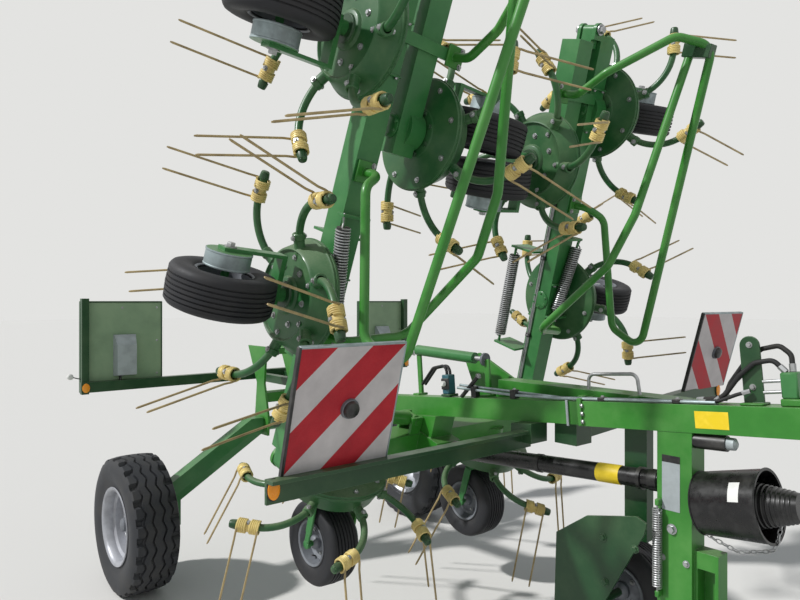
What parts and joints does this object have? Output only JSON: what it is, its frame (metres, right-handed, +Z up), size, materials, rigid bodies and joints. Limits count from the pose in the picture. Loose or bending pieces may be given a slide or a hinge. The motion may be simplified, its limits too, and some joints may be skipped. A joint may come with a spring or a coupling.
{
  "type": "trailed rotary hay tedder",
  "caption": "Trailed rotary hay tedder with folding wings, tined rotors, caster-style rotor wheels and a swing transport axle, parked folded on its jack.",
  "frame": {"origin": "on the ground below the middle of the parked machine's box", "axes": "-Y towards the towing eye at the front, +X towards the machine's left side, +Z up"},
  "size_m": [2.9119, 4.545, 3.3048],
  "materials": {
    "paint_green": "semi-gloss",
    "paint_dark_green": "semi-gloss",
    "steel": "satin",
    "tyre": "matt",
    "black_plastic": "matt",
    "board": "reflective"
  },
  "bodies": {
    "chassis": {"main_frame": "paint_green", "drawbar": "paint_green", "front_post": "paint_green", "front_wheel_arm": "paint_dark_green", "centre_gang": "paint_green", "pto_guard": "black_plastic", "pto_shaft": "black_plastic", "warning_board_right": "board", "warning_board_left": "board", "rear_boards": "board"},
    "jack_leg": {"parking_jack_leg": "steel"},
    "front_wheel": {"front_wheel": "tyre"},
    "swing_axle": {"swing_axle": "paint_green"},
    "transport_wheel_right": {"transport_wheel_right": "tyre"},
    "wing_right": {"wing_right": "paint_green", "guard_right": "paint_green"},
    "outer_right": {"outer_right": "paint_green"},
    "rotor_r1": {"rotor_r1": "paint_green"},
    "rotor_wheel_r1": {"rotor_wheel_r1": "tyre"},
    "rotor_r2": {"rotor_r2": "paint_green"},
    "rotor_wheel_r2": {"rotor_wheel_r2": "tyre"},
    "rotor_r3": {"rotor_r3": "paint_green"},
    "rotor_wheel_r3": {"rotor_wheel_r3": "tyre"},
    "rotor_r4": {"rotor_r4": "paint_green"},
    "rotor_wheel_r4": {"rotor_wheel_r4": "tyre"},
    "cylinder_right": {"cylinder_right": "paint_green"},
    "rod_right": {"rod_right": "steel"},
    "transport_wheel_left": {"transport_wheel_left": "tyre"},
    "wing_left": {"wing_left": "paint_green", "guard_left": "paint_green"},
    "outer_left": {"outer_left": "paint_green"},
    "rotor_l1": {"rotor_l1": "paint_green"},
    "rotor_wheel_l1": {"rotor_wheel_l1": "tyre"},
    "rotor_l2": {"rotor_l2": "paint_green"},
    "rotor_wheel_l2": {"rotor_wheel_l2": "tyre"},
    "rotor_l3": {"rotor_l3": "paint_green"},
    "rotor_wheel_l3": {"rotor_wheel_l3": "tyre"},
    "rotor_l4": {"rotor_l4": "paint_green"},
    "rotor_wheel_l4": {"rotor_wheel_l4": "tyre"},
    "cylinder_left": {"cylinder_left": "paint_green"},
    "rod_left": {"rod_left": "steel"}
  },
  "joints": [
    {"name": "jack_slide", "type": "slide", "parent": "chassis", "child": "jack_leg", "axis": [0, 0, 1], "range_m": [0, 0.25]},
    {"name": "front_wheel_spin", "type": "hinge", "parent": "chassis", "child": "front_wheel", "pos_m": [0.1, -0.4875, 0.47], "axis": [1, 0, 0], "continuous": true},
    {"name": "swing_axle_lift", "type": "hinge", "parent": "chassis", "child": "swing_axle", "pos_m": [0, 1.7905, 0.865], "axis": [1, 0, 0], "range_deg": [0, 45]},
    {"name": "transport_wheel_right_spin", "type": "hinge", "parent": "swing_axle", "child": "transport_wheel_right", "pos_m": [-1.05, 1.9005, 0.38], "axis": [1, 0, 0], "continuous": true},
    {"name": "wing_right_fold", "type": "hinge", "parent": "chassis", "child": "wing_right", "pos_m": [-0.822, 0.63776, 0.92229], "axis": [0, -0.9548, -0.2974], "range_deg": [0, 94.5]},
    {"name": "outer_right_fold", "type": "hinge", "parent": "wing_right", "child": "outer_right", "pos_m": [-0.56465, -0.01247, 3.00992], "axis": [0, -0.9548, -0.2974], "range_deg": [0, 180]},
    {"name": "rotor_r1_spin", "type": "hinge", "parent": "chassis", "child": "rotor_r1", "pos_m": [-0.5275, 0.69129, 0.75043], "axis": [0, -0.2974, 0.9548], "continuous": true},
    {"name": "rotor_wheel_r1_spin", "type": "hinge", "parent": "chassis", "child": "rotor_wheel_r1", "pos_m": [-0.5275, 0.7805, 0.464], "axis": [-1, 0, 0], "continuous": true},
    {"name": "rotor_r2_spin", "type": "hinge", "parent": "wing_right", "child": "rotor_r2", "pos_m": [-0.94178, 0.4081, 1.65963], "axis": [0.9969, 0.0233, -0.0749], "continuous": true},
    {"name": "rotor_wheel_r2_spin", "type": "hinge", "parent": "wing_right", "child": "rotor_wheel_r2", "pos_m": [-1.24085, 0.4011, 1.6821], "axis": [0.0785, -0.2965, 0.9518], "continuous": true},
    {"name": "rotor_r3_spin", "type": "hinge", "parent": "wing_right", "child": "rotor_r3", "pos_m": [-0.859, 0.09534, 2.66379], "axis": [0.9969, 0.0233, -0.0749], "continuous": true},
    {"name": "rotor_wheel_r3_spin", "type": "hinge", "parent": "wing_right", "child": "rotor_wheel_r3", "pos_m": [-1.15808, 0.08834, 2.68627], "axis": [0.0785, -0.2965, 0.9518], "continuous": true},
    {"name": "rotor_r4_spin", "type": "hinge", "parent": "outer_right", "child": "rotor_r4", "pos_m": [-0.35308, 0.19249, 2.35187], "axis": [-0.9969, -0.0233, 0.0749], "continuous": true},
    {"name": "rotor_wheel_r4_spin", "type": "hinge", "parent": "outer_right", "child": "rotor_wheel_r4", "pos_m": [-0.04616, 0.16985, 2.42458], "axis": [-0.0785, 0.2965, -0.9518], "continuous": true},
    {"name": "cylinder_right_tilt", "type": "hinge", "parent": "chassis", "child": "cylinder_right", "pos_m": [-0.11, 0.60208, 1.03686], "axis": [0, -0.9548, -0.2974], "range_deg": [-1, 25]},
    {"name": "rod_right_slide", "type": "slide", "parent": "cylinder_right", "child": "rod_right", "axis": [-0.9852, -0.0509, 0.1636], "range_m": [-0.01, 0.369]},
    {"name": "transport_wheel_left_spin", "type": "hinge", "parent": "swing_axle", "child": "transport_wheel_left", "pos_m": [1.05, 1.9005, 0.38], "axis": [1, 0, 0], "continuous": true},
    {"name": "wing_left_fold", "type": "hinge", "parent": "chassis", "child": "wing_left", "pos_m": [0.822, 0.63776, 0.92229], "axis": [0, 0.9548, 0.2974], "range_deg": [0, 94.5]},
    {"name": "outer_left_fold", "type": "hinge", "parent": "wing_left", "child": "outer_left", "pos_m": [0.56465, -0.01247, 3.00992], "axis": [0, 0.9548, 0.2974], "range_deg": [0, 180]},
    {"name": "rotor_l1_spin", "type": "hinge", "parent": "chassis", "child": "rotor_l1", "pos_m": [0.5275, 0.69129, 0.75043], "axis": [0, -0.2974, 0.9548], "continuous": true},
    {"name": "rotor_wheel_l1_spin", "type": "hinge", "parent": "chassis", "child": "rotor_wheel_l1", "pos_m": [0.5275, 0.7805, 0.464], "axis": [1, 0, 0], "continuous": true},
    {"name": "rotor_l2_spin", "type": "hinge", "parent": "wing_left", "child": "rotor_l2", "pos_m": [0.94178, 0.4081, 1.65963], "axis": [-0.9969, 0.0233, -0.0749], "continuous": true},
    {"name": "rotor_wheel_l2_spin", "type": "hinge", "parent": "wing_left", "child": "rotor_wheel_l2", "pos_m": [1.24085, 0.4011, 1.6821], "axis": [-0.0785, -0.2965, 0.9518], "continuous": true},
    {"name": "rotor_l3_spin", "type": "hinge", "parent": "wing_left", "child": "rotor_l3", "pos_m": [0.859, 0.09534, 2.66379], "axis": [-0.9969, 0.0233, -0.0749], "continuous": true},
    {"name": "rotor_wheel_l3_spin", "type": "hinge", "parent": "wing_left", "child": "rotor_wheel_l3", "pos_m": [1.15808, 0.08834, 2.68627], "axis": [-0.0785, -0.2965, 0.9518], "continuous": true},
    {"name": "rotor_l4_spin", "type": "hinge", "parent": "outer_left", "child": "rotor_l4", "pos_m": [0.35308, 0.19249, 2.35187], "axis": [0.9969, -0.0233, 0.0749], "continuous": true},
    {"name": "rotor_wheel_l4_spin", "type": "hinge", "parent": "outer_left", "child": "rotor_wheel_l4", "pos_m": [0.06185, 0.22914, 2.23422], "axis": [0.0785, 0.2965, -0.9518], "continuous": true},
    {"name": "cylinder_left_tilt", "type": "hinge", "parent": "chassis", "child": "cylinder_left", "pos_m": [0.11, 0.60208, 1.03686], "axis": [0, 0.9548, 0.2974], "range_deg": [-1, 25]},
    {"name": "rod_left_slide", "type": "slide", "parent": "cylinder_left", "child": "rod_left", "axis": [0.9852, -0.0509, 0.1636], "range_m": [-0.01, 0.369]}
  ],
  "couplings": [
    {"joint": "outer_right_fold", "follows": "wing_right_fold", "ratio": 1.9048},
    {"joint": "rotor_r2_spin", "follows": "rotor_r1_spin", "ratio": -1},
    {"joint": "rotor_r3_spin", "follows": "rotor_r1_spin", "ratio": 1},
    {"joint": "rotor_r4_spin", "follows": "rotor_r1_spin", "ratio": -1},
    {"joint": "cylinder_right_tilt", "follows": "wing_right_fold", "ratio": 0.1044},
    {"joint": "rod_right_slide", "follows": "wing_right_fold", "m_per_rad": 0.2177},
    {"joint": "wing_left_fold", "follows": "wing_right_fold", "ratio": 1},
    {"joint": "outer_left_fold", "follows": "wing_right_fold", "ratio": 1.9048},
    {"joint": "rotor_l1_spin", "follows": "rotor_r1_spin", "ratio": -1},
    {"joint": "rotor_l2_spin", "follows": "rotor_r1_spin", "ratio": 1},
    {"joint": "rotor_l3_spin", "follows": "rotor_r1_spin", "ratio": -1},
    {"joint": "rotor_l4_spin", "follows": "rotor_r1_spin", "ratio": 1},
    {"joint": "cylinder_left_tilt", "follows": "wing_right_fold", "ratio": 0.1044},
    {"joint": "rod_left_slide", "follows": "wing_right_fold", "m_per_rad": 0.2177}
  ]
}
